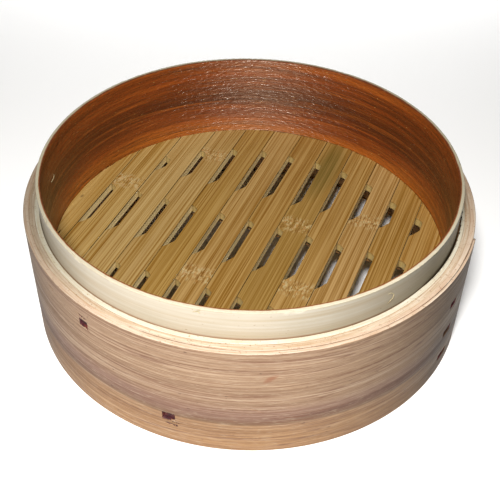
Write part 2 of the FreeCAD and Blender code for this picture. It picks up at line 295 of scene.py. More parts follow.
def block(centre, axes, half, cells, edge, relief, seed):
    """Points and faces of a block with rounded edges, its six sides roughened along its first axis."""
    points, faces = [], []
    across = [np.linspace(-1, 1, n + 1) for n in cells]
    for fixed in range(3):
        a, b = [k for k in range(3) if k != fixed]
        for sign in (-1.0, 1.0):
            grid_a, grid_b = np.meshgrid(across[a], across[b], indexing="ij")
            local = np.zeros(grid_a.shape + (3,))
            local[..., a] = grid_a * half[a]
            local[..., b] = grid_b * half[b]
            local[..., fixed] = sign * half[fixed]
            inner = np.clip(local, -(np.array(half) - edge), np.array(half) - edge)
            away = local - inner
            length = np.linalg.norm(away, axis=-1, keepdims=True)
            local = inner + away / np.maximum(length, 1e-9) * np.minimum(length, edge)
            fibre = noise(local[..., 1] * 2.2 + seed, local[..., 0] * 0.15, seed)
            fibre = fibre + noise(local[..., 2] * 2.2 + seed, local[..., 0] * 0.15, seed + 1) - 1.0
            pull = 1.0 + relief * fibre[..., None] / max(min(half), 0.5)
            local = np.concatenate([local[..., :1], local[..., 1:] * pull], -1)
            start = len(points)
            world = np.asarray(centre) + local @ np.asarray(axes)
            points.extend(world.reshape(-1, 3))
            n, m = grid_a.shape
            for i in range(n - 1):
                for j in range(m - 1):
                    near = start + i * m + j
                    far = near + m
                    faces.append((near, far, far + 1, near + 1))
    return points, faces


def blocks_piece(name, built, material, node):
    """Joins several blocks' points and faces into one piece."""
    points, faces = [], []
    for part_points, part_faces in built:
        offset = len(points)
        points.extend(part_points)
        faces.extend(tuple(k + offset for k in face) for face in part_faces)
    return add_mesh(name, points, faces, [material], node)


# --- materials ---

def linear(colour, wash):
    """A display colour, 0 to 255, as linear light, times the wash of its material.

    The wash brings the given colours down to what real wood reflects.
    """
    parts = []
    for value, share in zip(colour, wash):
        c = value / 255.0
        parts.append(share * (c / 12.92 if c <= 0.04045 else ((c + 0.055) / 1.055) ** 2.4))
    return (*parts, 1.0)


def set_inputs(node, **values):
    """Sets a shader node's inputs, named with _ for each space."""
    for name, value in values.items():
        node.inputs[name.replace("_", " ")].default_value = value


class Paint:
    """Builds one procedural material, node by node."""

    def __init__(self, name, roughness=0.6, specular=0.35, coat=0.0, wash=(1.0, 1.0, 1.0)):
        self.material = bpy.data.materials.new(name)
        self.material.use_nodes = True
        self.tree = self.material.node_tree
        self.shader = self.tree.nodes["Principled BSDF"]
        set_inputs(self.shader, Roughness=roughness, Specular_IOR_Level=specular, Coat_Weight=coat,
                   Coat_Roughness=0.2)
        self.place = self.add("ShaderNodeTexCoord").outputs["Object"]
        self.height = None
        self.wash = wash

    def add(self, kind, **settings):
        node = self.tree.nodes.new(kind)
        for key, value in settings.items():
            setattr(node, key, value)
        return node

    def link(self, source, target):
        self.tree.links.new(source, target)

    def feed(self, value, target):
        if isinstance(value, (int, float, tuple)):
            target.default_value = value
        else:
            self.link(value, target)

    def stretched(self, scale):
        """Object coordinates scaled per metre along each axis."""
        node = self.add("ShaderNodeMapping")
        set_inputs(node, Scale=scale)
        self.link(self.place, node.inputs["Vector"])
        return node.outputs["Vector"]

    def noise(self, place, detail=3.0, roughness=0.55, distortion=0.0):
        """Noise over a vector, or over object coordinates when place is a scale for each axis."""
        vector = self.stretched(place) if isinstance(place, tuple) else place
        node = self.add("ShaderNodeTexNoise")
        set_inputs(node, Scale=1.0, Detail=detail, Roughness=roughness, Distortion=distortion)
        self.link(vector, node.inputs["Vector"])
        return node.outputs["Fac"]

    def split(self):
        """X, Y and Z of the place, in metres."""
        node = self.add("ShaderNodeSeparateXYZ")
        self.link(self.place, node.inputs[0])
        return node.outputs

    def distance_from_axis(self):
        x, y, _ = self.split()
        return self.math("SQRT", self.plus(self.square(x), self.square(y)))

    def math(self, operation, a, b=0.0):
        node = self.add("ShaderNodeMath", operation=operation)
        self.feed(a, node.inputs[0])
        self.feed(b, node.inputs[1])
        return node.outputs[0]

    def times(self, a, b):
        return self.math("MULTIPLY", a, b)

    def plus(self, a, b):
        return self.math("ADD", a, b)

    def minus(self, a, b):
        return self.math("SUBTRACT", a, b)

    def square(self, a):
        return self.math("MULTIPLY", a, a)

    def span(self, value, low, high, to_low=0.0, to_high=1.0):
        """Turns low to high into to_low to to_high, clamped."""
        node = self.add("ShaderNodeMapRange", clamp=True)
        self.feed(value, node.inputs["Value"])
        set_inputs(node, From_Min=low, From_Max=high, To_Min=to_low, To_Max=to_high)
        return node.outputs["Result"]

    def ramp(self, value, *stops):
        """stops are (position, (r, g, b) as display values)."""
        node = self.add("ShaderNodeValToRGB")
        while len(node.color_ramp.elements) < len(stops):
            node.color_ramp.elements.new(0.5)
        for element, (position, colour) in zip(node.color_ramp.elements, stops):
            element.position = position
            element.color = linear(colour, self.wash)
        self.link(value, node.inputs["Fac"])
        return node.outputs["Color"]

    def mix(self, share, a, b, blend="MIX"):
        node = self.add("ShaderNodeMix", data_type="RGBA", blend_type=blend)
        self.feed(share, node.inputs["Factor"])
        for value, target in ((a, node.inputs[6]), (b, node.inputs[7])):
            if isinstance(value, tuple):
                target.default_value = linear(value, self.wash)
            else:
                self.link(value, target)
        return node.outputs[2]

    def layered(self, tone, *layers):
        """Lays colours over a tone. Each is (value, low, high, weight, colour), and its share grows
        from 0 to the weight as the value goes from low to high."""
        for value, low, high, weight, colour in layers:
            tone = self.mix(self.span(value, low, high, 0.0, weight), tone, colour)
        return tone

    def colour(self, value):
        self.link(value, self.shader.inputs["Base Color"])

    def painted_side_shade(self, tone, amount, lean=0.0, left=0.0, tint=(150, 146, 128)):
        """Painted shade: the wood is made greyer and darker away from -Y, where its faces turn from the
        lamps; lean and left make it darker still towards -X.
        """
        x, y, _ = self.split()
        place = self.minus(y, self.times(x, lean))
        tone = self.mix(self.span(place, -0.110, -0.035, 0.0, amount), tone, tint, "MULTIPLY")
        return self.mix(self.span(x, -0.035, -0.105, 0.0, left), tone, tint, "MULTIPLY")

    def brushed_level(self, amount):
        """Level scratches round the Z axis spread each highlight up and down."""
        tangent = self.add("ShaderNodeTangent", direction_type="RADIAL", axis="Z")
        self.link(tangent.outputs["Tangent"], self.shader.inputs["Tangent"])
        set_inputs(self.shader, Anisotropic=amount, Anisotropic_Rotation=0.25)

    def rough(self, value):
        self.link(value, self.shader.inputs["Roughness"])

    def bump(self, value, distance_mm, strength=1.0):
        """Adds a bump of that depth to the ones before it."""
        node = self.add("ShaderNodeBump")
        set_inputs(node, Strength=strength, Distance=distance_mm * MM)
        self.link(value, node.inputs["Height"])
        if self.height is not None:
            self.link(self.height, node.inputs["Normal"])
        self.height = node.outputs["Normal"]
        self.link(self.height, self.shader.inputs["Normal"])
        self.link(self.height, self.shader.inputs["Coat Normal"])


SMUDGE_X = 56.2
SMUDGE_HEIGHT = 56.5


def fir_outside():
    """The outer hoop's face: pinkish tan softwood with thin level grain lines and a dark band low down."""
    p = Paint("fir_outside", roughness=0.62, specular=0.3, wash=(0.54, 0.545, 0.53))
    waver = p.noise((9, 9, 9), detail=2.0)
    x, y, z = p.split()
    level = p.plus(z, p.span(waver, 0.3, 0.7, -0.0016, 0.0016))
    tone = p.ramp(p.span(level, 0.0, 0.074),
                  (0.0, (206, 156, 106)), (0.20, (212, 164, 116)), (0.28, (206, 160, 118)),
                  (0.30, (138, 98, 64)), (0.34, (146, 102, 82)), (0.41, (172, 130, 112)),
                  (0.50, (204, 166, 134)), (0.72, (212, 174, 140)), (1.0, (208, 170, 138)))
    coarse = p.noise((5, 5, 330), detail=4.0, roughness=0.6, distortion=0.3)
    rings = p.noise((4, 4, 240), detail=1.0)
    fine = p.noise((30, 30, 1600), roughness=0.65)
    fleck = p.noise((160, 160, 1500), detail=2.0, roughness=0.7)
    patch = p.noise((14, 14, 40))
    tone = p.mix(p.span(coarse, 0.42, 0.66), tone, p.mix(0.35, tone, (150, 96, 68), "MULTIPLY"))
    tone = p.mix(p.span(coarse, 0.50, 0.30), tone, p.mix(0.22, tone, (252, 226, 196)))
    for level_of_line in (0.40, 0.50, 0.60):
        off = p.math("ABSOLUTE", p.minus(rings, level_of_line))
        tone = p.mix(p.span(off, 0.0, 0.020, 0.85, 0.0), tone, (146, 98, 72))
    tone = p.layered(
        tone,
        (fine, 0.48, 0.72, 0.32, (140, 98, 74)),
        (fine, 0.42, 0.24, 0.45, (240, 212, 182)),
        (fleck, 0.52, 0.70, 0.30, (146, 106, 82)),
        (fleck, 0.46, 0.30, 0.30, (244, 220, 192)),
        (patch, 0.55, 0.8, 0.3, (180, 136, 110)),
    )
    specks = p.noise((260, 260, 700), detail=1.0)
    tone = p.layered(tone, (specks, 0.74, 0.80, 0.6, (92, 58, 42)))
    # one small rust brown smudge on the front
    aside = p.minus(x, SMUDGE_X * MM)
    above = p.minus(z, SMUDGE_HEIGHT * MM)
    along = p.minus(above, aside)
    across = p.plus(above, aside)
    narrow = p.times(p.square(along), 6.0)
    far = p.plus(p.square(across), narrow)
    smudge = p.times(p.span(far, 46e-6, 6e-6), p.span(y, -0.08, -0.09))
    smudge = p.times(smudge, p.span(fleck, 0.35, 0.55, 0.5, 1.0))
    tone = p.mix(p.times(smudge, 0.6), tone, (168, 96, 62))
    # painted shade: the outer face is made greyer and darker where it turns from the light, and towards -X
    p.colour(p.painted_side_shade(tone, 0.9, left=0.55, tint=(152, 137, 86)))
    p.rough(p.span(coarse, 0.3, 0.7, 0.5, 0.72))
    p.bump(fine, 0.08)
    p.bump(fleck, 0.06)
    p.bump(coarse, 0.10)
    return p.material


def cut_edge(name, light, dark, dots, seed, roughness=0.75, painted_side_shade=0.5):
    """The sawn top edge of a hoop: fibres run round the ring, with pores and small torn spots."""
    p = Paint(name, roughness=roughness, specular=0.25, wash=(0.60, 0.64, 0.74))
    x, y, _ = p.split()
    radius = p.distance_from_axis()
    around = p.add("ShaderNodeCombineXYZ")
    p.link(p.times(radius, 1400.0), around.inputs[0])
    p.link(p.times(x, 45.0), around.inputs[1])
    p.link(p.times(y, 45.0), around.inputs[2])
    fibre = p.noise(around.outputs[0], roughness=0.65)
    patch = p.noise((60 + seed, 60, 60), detail=4.0, roughness=0.65)
    grit = p.noise((900, 900, 900), detail=2.0)
    tone = p.layered(
        light,
        (fibre, 0.32, 0.68, 1.0, dark),
        (patch, 0.5, 0.78, 0.5, dark),
        (grit, 0.62, 0.72, 0.7, dots),
    )
    # painted shade: the cut edge is made greyer and darker where the hoop turns from the light, and towards
    # -X
    p.colour(p.painted_side_shade(tone, painted_side_shade, lean=0.7, left=0.25))
    p.bump(fibre, 0.18)
    p.bump(grit, 0.12)
    return p.material


def inner_skin():
    """The inside of the inner hoop: glossy bamboo skin, steamed dark, with level wavy striations."""
    p = Paint("inner_skin", roughness=0.38, specular=1.0, coat=0.5, wash=(0.74, 0.68, 0.36))
    set_inputs(p.shader, Specular_Tint=(1.0, 0.80, 0.58, 1.0))
    p.brushed_level(0.85)
    z = p.split()[2]
    waver = p.noise((10, 10, 18))
    level = p.plus(z, p.span(waver, 0.3, 0.7, -0.003, 0.003))
    tone = p.ramp(p.span(level, 0.030, RIM * MM),
                  (0.0, (176, 96, 40)), (0.17, (176, 98, 42)), (0.27, (150, 72, 30)),
                  (0.40, (118, 50, 22)), (0.52, (86, 34, 16)), (0.66, (104, 44, 18)),
                  (0.82, (136, 62, 26)), (1.0, (140, 68, 30)))
    streak = p.noise((7, 7, 260), detail=5.0, roughness=0.62, distortion=0.5)
    fine = p.noise((22, 22, 1300), roughness=0.6)
    patch = p.noise((16, 16, 24), detail=4.0, roughness=0.6)
    tone = p.layered(
        tone,
        (streak, 0.48, 0.72, 0.8, (62, 24, 12)),
        (streak, 0.46, 0.28, 0.7, (184, 98, 46)),
        (fine, 0.5, 0.75, 0.5, (60, 26, 12)),
        (fine, 0.44, 0.26, 0.4, (198, 122, 66)),
        (patch, 0.55, 0.75, 0.35, (150, 80, 36)),
    )
    # the pale specks are painted glints on the glossy skin
    specks = p.noise((420, 420, 1400), detail=1.0)
    tone = p.layered(tone, (specks, 0.74, 0.79, 0.7, (226, 190, 148)))
    p.colour(tone)
    p.rough(p.span(streak, 0.3, 0.7, 0.34, 0.50))
    p.bump(fine, 0.14)
    p.bump(streak, 0.6)
    ripple = p.noise((190, 190, 760), detail=2.0, distortion=0.6)
    p.bump(ripple, 0.85)
    return p.material


def collar_outside():
    """The collar's shaved outer face: ivory and satin, with very faint level fibres."""
    p = Paint("collar_outside", roughness=0.42, specular=0.45, wash=(0.55, 0.58, 0.65))
    z = p.split()[2]
    streak = p.noise((8, 8, 520), detail=4.0, roughness=0.6)
    patch = p.noise((26, 26, 60))
    tone = p.layered(
        (248, 232, 202),
        (streak, 0.35, 0.7, 1.0, (232, 208, 168)),
        (patch, 0.5, 0.75, 0.4, (222, 206, 170)),
    )
    foot = p.span(z, LEDGE * MM, (LEDGE + 1.3) * MM, 1.0, 0.0)
    tone = p.mix(p.times(foot, 0.8), tone, (196, 134, 78))
    specks = p.noise((380, 380, 900), detail=1.0)
    tone = p.layered(tone, (specks, 0.75, 0.8, 0.6, (170, 120, 80)))
    # painted shade: the collar is made greyer and darker where it turns from the light, and towards -X
    p.colour(p.painted_side_shade(tone, 1.0, left=0.6, tint=(158, 156, 132)))
    p.bump(streak, 0.10)
    p.bump(p.noise((120, 120, 500), detail=2.0), 0.06)
    return p.material


def rim_edge():
    """The collar's top edge: whitish end of the strip with a thin line of skin on its inner side."""
    p = Paint("rim_edge", roughness=0.7, specular=0.25, wash=(0.52, 0.52, 0.50))
    radius = p.distance_from_axis()
    waver = p.noise((90, 90, 90))
    place = p.plus(radius, p.span(waver, 0.3, 0.7, -0.00018, 0.00018))
    tone = p.ramp(p.span(place, R_INNER * MM, R_COLLAR * MM),
                  (0.0, (140, 70, 36)), (0.26, (170, 96, 52)), (0.36, (236, 208, 166)),
                  (0.46, (252, 242, 218)), (1.0, (250, 238, 212)))
    grit = p.noise((700, 700, 700), roughness=0.7)
    tone = p.layered(tone, (grit, 0.55, 0.75, 0.5, (214, 182, 138)))
    # painted shade: the rim is made greyer and darker away from the front, where it turns from the light
    p.colour(p.painted_side_shade(tone, 0.45, lean=0.5))
    p.bump(grit, 0.15)
    return p.material


def plain_strip(name, light, dark, seed):
    """An inner or hidden face of a hoop: level fibres, a little stained."""
    p = Paint(name, roughness=0.7, specular=0.3)
    streak = p.noise((7 + seed, 7, 420), detail=4.0, roughness=0.62)
    fine = p.noise((20, 20, 1500))
    stain = p.noise((18, 18, 30), detail=4.0)
    tone = p.layered(
        light,
        (streak, 0.35, 0.68, 1.0, dark),
        (fine, 0.45, 0.75, 0.45, dark),
        (stain, 0.55, 0.8, 0.45, (128, 92, 58)),
    )
    p.colour(tone)
    p.bump(fine, 0.1)
    p.bump(streak, 0.2)
    return p.material


def slat_top(name, base, pale, dark, knuckles, stain):
    """A slat: straight fibres along Y, ochre and pale lines, and flecks where a knuckle was planed."""
    p = Paint(name, roughness=0.48, specular=0.4, wash=(0.39, 0.37, 0.24))
    x, y, z = p.split()
    fibre = p.noise((1300, 6, 1300), roughness=0.6)
    hair = p.noise((3000, 14, 3000), detail=2.0, roughness=0.6)
    broad = p.noise((240, 5, 240))
    cloud = p.noise((40, 16, 40))
    tone = p.layered(
        base,
        (fibre, 0.40, 0.60, 1.0, pale),
        (fibre, 0.46, 0.28, 0.9, dark),
        (hair, 0.52, 0.72, 0.5, dark),
        (hair, 0.44, 0.26, 0.4, pale),
        (broad, 0.5, 0.72, 0.35, pale),
        (broad, 0.46, 0.28, 0.2, dark),
        (cloud, 0.5, 0.75, 0.3, base),
    )
    flake = p.noise((900, 240, 900), detail=2.0, roughness=0.7)
    hue = p.noise((500, 300, 500), detail=1.0)
    fleck = p.ramp(hue, (0.35, (240, 196, 160)), (0.5, (250, 232, 206)), (0.62, (228, 172, 120)))
    for centre in knuckles:
        away = p.math("ABSOLUTE", p.minus(y, centre * MM))
        zone = p.span(away, 0.0085, 0.0045, 0.0, 1.0)
        pale_share = p.times(zone, p.span(flake, 0.50, 0.57))
        tone = p.mix(p.times(pale_share, 0.9), tone, fleck)
        dark_share = p.times(zone, p.span(flake, 0.44, 0.36))
        tone = p.mix(p.times(dark_share, 0.6), tone, (150, 96, 44))
    for centre_x, centre_y, half_x, half_y, colour, weight in stain:
        dx = p.math("DIVIDE", p.minus(x, centre_x * MM), half_x * MM)
        dy = p.math("DIVIDE", p.minus(y, centre_y * MM), half_y * MM)
        far = p.plus(p.square(dx), p.square(dy))
        spot = p.times(p.span(far, 1.0, 0.1), p.span(fibre, 0.35, 0.6, 1.0, 0.45))
        tone = p.mix(p.times(spot, weight), tone, colour)
    # the cut sides below the top are made paler: partly the paler fibre of the cut, partly painted light for
    # the light they catch
    below = p.span(z, (FLOOR - 1.6) * MM, (FLOOR - 0.3) * MM, 1.0, 0.0)
    tone = p.mix(p.times(below, 0.85), tone, (255, 226, 176))
    p.colour(tone)
    p.rough(p.span(fibre, 0.3, 0.7, 0.4, 0.6))
    p.bump(hair, 0.06)
    p.bump(fibre, 0.14)
    return p.material


def small_wood(name, fibres, patches, fibre_layer, patch_layer, light, depth, fibre_roughness=0.6,
               patch_detail=3.0, **finish):
    """A wood of fibres and patches, for small or hidden pieces. A layer is low, high, weight, colour."""
    p = Paint(name, **finish)
    fibre = p.noise(fibres, roughness=fibre_roughness)
    patch = p.noise(patches, detail=patch_detail)
    p.colour(p.layered(light, (fibre, *fibre_layer), (patch, *patch_layer)))
    p.bump(fibre, depth)
    return p.material


def pale_fibre():
    """Loose fibres."""
    p = Paint("pale_fibre", roughness=0.6, specular=0.3)
    grain = p.noise((900, 900, 900), detail=2.0)
    p.colour(p.mix(p.span(grain, 0.3, 0.7), (204, 190, 150), (150, 134, 98)))
    return p.material


FIR_FACE = fir_outside()
FIR_EDGE = cut_edge("fir_edge", (250, 224, 188), (222, 178, 136), (160, 108, 74), 3)
FIR_BACK = plain_strip("fir_back", (206, 170, 126), (168, 124, 84), 2)
CORE_EDGE = cut_edge("core_edge", (250, 226, 190), (208, 168, 122), (150, 104, 64), 9,
                     roughness=0.85, painted_side_shade=0.6)
CORE_FACE = plain_strip("core_face", (186, 148, 100), (148, 108, 68), 5)
LINER_EDGE = cut_edge("liner_edge", (252, 240, 208), (234, 212, 170), (186, 142, 96), 15,
                      roughness=0.6)
LINER_FACE = plain_strip("liner_face", (186, 142, 92), (140, 96, 56), 8)
SKIN = inner_skin()
COLLAR = collar_outside()
RIM_EDGE = rim_edge()
# Peg heads and pins: dark, purple brown, end grain with a reddish cast. The outer hoop also puts it on the
# walls of its peg holes and cracks, as painted shade.
PEG_AND_HOLE_SHADE = small_wood("peg_wood_and_hole_shade", (700, 700, 1100), (240, 240, 240), (0.3, 0.7, 1.0, (48, 18, 26)),
                 (0.55, 0.7, 0.5, (150, 76, 52)), (110, 44, 54), 0.2, fibre_roughness=0.65,
                 patch_detail=2.0, roughness=0.6, specular=0.3, wash=(0.5, 0.42, 0.42))
# The battens: split bamboo whose fibres run along X.
BATTEN = small_wood("batten_wood", (8, 1300, 1300), (20, 60, 60), (0.34, 0.68, 1.0, (132, 92, 52)),
                    (0.5, 0.75, 0.5, (112, 74, 42)), (178, 134, 82), 0.16, roughness=0.62, specular=0.3)
# The split side of a slat, which shows as a paler olive wall inside the slots. Its own paler tone is
# brightened far past the top's, as painted light on a wall that the lamps only graze.
SLAT_SIDE = small_wood("slat_side", (1400, 8, 1400), (60, 20, 200), (0.35, 0.65, 1.0, (214, 190, 146)),
                       (0.5, 0.75, 0.4, (176, 146, 102)), (250, 236, 200), 0.12, roughness=0.7,
                       specular=0.25, wash=(0.92, 0.84, 0.62))
FIBRE = pale_fibre()


# --- the four hoops ---

PEG_NODES = ("lap_pegs", "upper_pegs", "lower_pegs")


def peg_place(points):
    """Azimuth, height, half width, half height, inner and outer radius of a peg."""
    azimuth = math.degrees(math.atan2(points[:, 1].mean(), points[:, 0].mean()))
    outward, along = (points @ axis for axis in axes_at(azimuth))
    z = points[:, 2]
    return azimuth, (z.min() + z.max()) / 2, np.ptp(along) / 2, np.ptp(z) / 2, outward.min(), outward.max()


PEGS = [(name, *peg_place(points)) for name in PEG_NODES for points in islands(name)]
# A peg hole is a little larger than its peg, its edge is soft, and it is sunk into the face.
PEG_EDGE = 0.25
PEG_MARGIN = 0.3
HOLE_DEPTH = 2.6


def hole_rows():
    """Heights where the outer face needs rows: the edges of the peg holes, and the cracks."""
    rows = []
    for _, _, z, _, half_z, _, _ in PEGS:
        for end in (z - half_z - PEG_MARGIN, z + half_z + PEG_MARGIN):
            rows += [end - PEG_EDGE, end]
    for (_, z0), (_, z1), width, _ in CRACKS:
        rows += list(np.arange(min(z0, z1) - width, max(z0, z1) + width, 0.3))
    return np.array(rows)


def in_hole(turn, height):
    """1 inside a peg hole, falling to 0 just past its edges, which are not quite straight."""
    inside = np.zeros(turn.shape)
    for _, azimuth, z, half, half_z, _, _ in PEGS:
        arc = arc_from(azimuth, turn, R_OUT)
        ragged = swing(0.12, arc * 1.5, height * 0.2, 11)
        beside = bump(arc, 0.0, half + PEG_MARGIN, PEG_EDGE)
        level = bump(height + ragged, z, half_z + PEG_MARGIN, PEG_EDGE)
        inside = np.maximum(inside, beside * level)
    return inside


# Cracks in the outer face: azimuth and height of both ends, width and depth.
CRACKS = [
    ((-110.4, 66.0), (-107.9, 64.8), 0.55, 1.2),
    ((-108.1, 59.0), (-107.4, 57.6), 0.35, 0.8),
    ((-87.6, 13.6), (-84.9, 13.0), 0.5, 1.1),
    ((-86.4, 15.6), (-84.2, 15.2), 0.3, 0.6),
    ((-68.0, 34.6), (-65.4, 31.6), 0.7, 0.35),
    ((-122.4, 66.6), (-120.6, 65.6), 0.7, 0.5),
    ((-73.5, 24.6), (-71.2, 24.2), 0.6, 0.3),
]


def crack_depth(turn, height):
    """How deep the face is cracked, in mm. Each crack fades out towards its ends."""
    depth = np.zeros(turn.shape)
    for (a0, z0), (a1, z1), width, deep in CRACKS:
        along = arc_from(a0, turn, R_OUT)
        length = math.radians(a1 - a0) * R_OUT
        rise = z1 - z0
        t = unit((along * length + (height - z0) * rise) / (length ** 2 + rise ** 2))
        off = np.hypot(along - t * length, height - z0 - t * rise)
        off = off + swing(0.12, along * 1.7, height * 1.7, 17)
        fade = np.sqrt(unit(4 * t * (1 - t) + 0.25))
        depth = np.maximum(depth, deep * unit(1 - off / width) * fade)
    return depth


def make_outer_hoop():
    """One strip wound once and a lap further: it starts at the outer end and runs clockwise."""
    coarse = np.linspace(0.0, 360.0, 400)
    extra = []
    for _, azimuth, _, half, _, _, _ in PEGS:
        turn = (LAP_AZIMUTH - azimuth) % 360.0
        for sign in (-1, 1):
            for arc in (half + PEG_MARGIN, half + PEG_MARGIN + PEG_EDGE):
                extra.append(turn + sign * math.degrees(arc / R_OUT))
    for (a0, _), (a1, _), _, _ in CRACKS:
        start, end = sorted(((LAP_AZIMUTH - a0) % 360.0, (LAP_AZIMUTH - a1) % 360.0))
        extra += list(np.arange(start - 0.3, end + 0.3, 0.2))
    tail = np.linspace(360.0, 360.0 + LAP_SWEEP, 36)[1:]
    turns = np.unique(np.concatenate([coarse, extra, tail]))
    lap = unit(1 - turns / LAP_SWEEP)
    under = unit(1 - (turns - 360.0) / LAP_SWEEP)
    inner = R_WRAP + (R_OUT - R_WRAP) * lap
    outer = R_OUT + LAP_STEP * lap
    second = turns > 360.0
    gap = LAP_GAP * unit((turns[second] - 360.0) / 2.0)
    outer[second] = R_WRAP + (R_OUT - R_WRAP) * under[second] - gap
    outer = np.maximum(outer, inner + 0.12)
    section = strip_loop(FOOT, LEDGE, 0.45, 66, 5, flat=6, extra_rows=hole_rows())

    def relief(azimuth, radius, height, side):
        turn = (LAP_AZIMUTH - azimuth)
        face = (side == 0) & (turn <= 360.0)
        top = side == 1
        level = height + swing(1.4, turn / 22.0, 0.3, 5)
        grain = ridges(level, 6, 2.1, 3.5) * (0.5 + noise(turn / 9.0, height / 6.0, 7))
        fine = noise(turn / 5.0, height * 1.3, 8) - 0.5
        wave = noise(turn / 14.0, height / 30.0, 9) - 0.5
        out = np.where(face, -0.05 * grain + 0.05 * fine + 0.16 * wave, 0.0)
        ragged = noise(turn / 0.6, 0.1, 12)
        out = out - np.where(top & (radius > R_OUT - 1.0), 0.25 * unit(ragged - 0.6), 0.0)
        out = out - np.where(face, HOLE_DEPTH * in_hole(azimuth, height) + crack_depth(azimuth, height), 0.0)
        sawn = swing(0.16, turn / 1.2, radius * 2.0, 13)
        bow = swing(0.25, turn / 16.0, 0.2, 14)
        return out, np.where(top, sawn + bow, 0.0)

    def holes(azimuth, height, side, indices):
        """The walls of the peg holes and cracks take the dark peg wood, as painted shade in the recesses."""
        dark = np.maximum(in_hole(azimuth, height), crack_depth(azimuth, height) / 0.7)
        deep = (dark > 0.5) & (side == 0) & (azimuth > LAP_AZIMUTH - 360.0)
        deep = deep[:-1] | deep[1:]
        deep = deep | np.roll(deep, -1, axis=1)
        return np.where(deep, 3, indices)

    return sweep_strip("outer_hoop_wood", LAP_AZIMUTH - turns, (inner, outer), section, relief,
                       [FIR_FACE, FIR_EDGE, FIR_BACK, PEG_AND_HOLE_SHADE], (0, 1, 2, 1), "outer_hoop",
                       override=holes)


# Hoops of the looks stand this far clear of each other.
HOOP_GAP = 0.02
COLLAR_GAP = 0.25


def ring_columns(joint, radius, count):
    """Azimuths once round, from one side of the slit at a joint to its other side."""
    half_slit = math.degrees(SLIT / 2 / radius)
    return np.linspace(joint + half_slit, joint + 360.0 - half_slit, count)


def make_core_hoop():
    azimuths = ring_columns(CORE_JOINT, R_WRAP, 420)
    section = strip_loop(FOOT, LEDGE, 0.3, 14, 12, flat=9)

    def relief(azimuth, radius, height, side):
        top = side == 1
        groove = ridges(radius + 0.5 * noise(azimuth / 6.0, 0.4, 21), 22, 0.8, 2.0)
        up = np.where(top, -0.16 - 0.12 * groove + swing(0.20, azimuth / 0.7, radius * 1.5, 23), 0.0)
        out = np.where(side == 2, swing(0.10, azimuth / 3.0, height * 0.8, 24), 0.0)
        return out, up

    radii = (R_CORE + HOOP_GAP, R_WRAP - HOOP_GAP)
    return sweep_strip("core_hoop_wood", azimuths, radii, section, relief,
                       [CORE_EDGE, CORE_FACE], (1, 0, 1, 0), "core_hoop", slant=SCARF_SLOPE)


# Where the liner leaves a dark gap beside the collar: its middle, its half length and its width.
OPEN_GAP_AZIMUTH = 22.0
OPEN_GAP_SWEEP = 42.0
OPEN_GAP = 1.1


def make_liner_hoop():
    azimuths = ring_columns(LINER_JOINT, R_CORE, 480)
    section = strip_loop(FOOT, LEDGE, 0.3, 6, 40, flat=9)

    def relief(azimuth, radius, height, side):
        inside = (side == 2) | (((side == 1) | (side == 3)) & (radius < R_COLLAR + 0.9))
        skirt = unit((SKIRT_TOP - height) / 0.8)
        out = np.where(inside, (R_SKIRT - R_COLLAR - COLLAR_GAP) * skirt, 0.0)
        out = out + np.where(side == 2, swing(0.14, azimuth / 3.0, height * 0.9, 31), 0.0)
        # The collar stands a little away from the liner on one side, which leaves a dark gap
        away = unit(1 - np.abs(wrapped(azimuth, OPEN_GAP_AZIMUTH)) / OPEN_GAP_SWEEP)
        deep = unit((height - (LEDGE - 7.0)) / 3.0)
        out = out + np.where(inside, OPEN_GAP * np.sqrt(away) * deep, 0.0)
        sawn = swing(0.10, azimuth / 0.9, radius * 1.6, 32)
        bow = swing(0.2, azimuth / 12.0, 0.5, 33)
        return out, np.where(side == 1, sawn + bow, 0.0)

    radii = (R_COLLAR + COLLAR_GAP, R_CORE - HOOP_GAP)
    return sweep_strip("liner_hoop_wood", azimuths, radii, section, relief,
                       [LINER_EDGE, LINER_FACE], (1, 0, 1, 0), "liner_hoop", slant=SCARF_SLOPE)


# Chips broken from the rim's edge: azimuth, width and depth.
RIM_CHIPS = [(-134.0, 3.0, 0.8), (-117.0, 3.6, 0.6), (-60.0, 2.0, 0.3), (-95.0, 1.6, 0.3), (20.0, 2.0, 0.5),
             (150.0, 3.0, 0.5), (-20.0, 2.4, 0.4)]


def make_inner_hoop():
    azimuths = ring_columns(INNER_JOINT, R_COLLAR, 620)
    section = strip_loop(SKIRT_TOP, RIM, 0.4, 40, 76, flat=7)

    def relief(azimuth, radius, height, side):
        arc = np.radians(azimuth) * R_INNER
        level = height + swing(1.6, arc / 34.0, 0.7, 41) + swing(0.5, arc / 9.0, 0.2, 48)
        ripple = noise(arc / 26.0, level * 0.75, 42) - 0.5
        striae = ridges(level, 43, 1.7, 2.5)
        inner = side == 2
        outer = side == 0
        out = np.where(inner, 0.16 * ripple - 0.06 * striae, 0.0)
        out = out + np.where(outer, swing(0.05, arc / 12.0, height * 0.8, 44), 0.0)
        sawn = swing(0.12, arc * 1.2, radius * 1.4, 45)
        bow = swing(0.25, arc / 24.0, 0.1, 46)
        up = np.where(side == 1, sawn + bow, 0.0)
        edge = (side == 1) & ((radius > R_COLLAR - 0.7) | (radius < R_INNER + 0.5))
        ragged = unit(noise(arc * 0.9, 0.6, 47) - 0.62)
        up = up - np.where(edge, 0.9 * ragged, 0.0)
        for centre, width, deep in RIM_CHIPS:
            far = np.abs(arc_from(centre, azimuth, R_COLLAR))
            chip = deep * unit(1 - far / width) ** 0.6 * (0.7 + 0.6 * noise(arc * 1.4, radius, 49))
            up = up - np.where((side == 1) & (radius > R_COLLAR - 1.0), chip, 0.0)
        return out, up

    return sweep_strip("inner_hoop_wood", azimuths, (R_INNER, R_COLLAR), section, relief,
                       [SKIN, COLLAR, RIM_EDGE, LINER_FACE], (1, 2, 0, 3), "inner_hoop",
                       slant=SCARF_SLOPE)


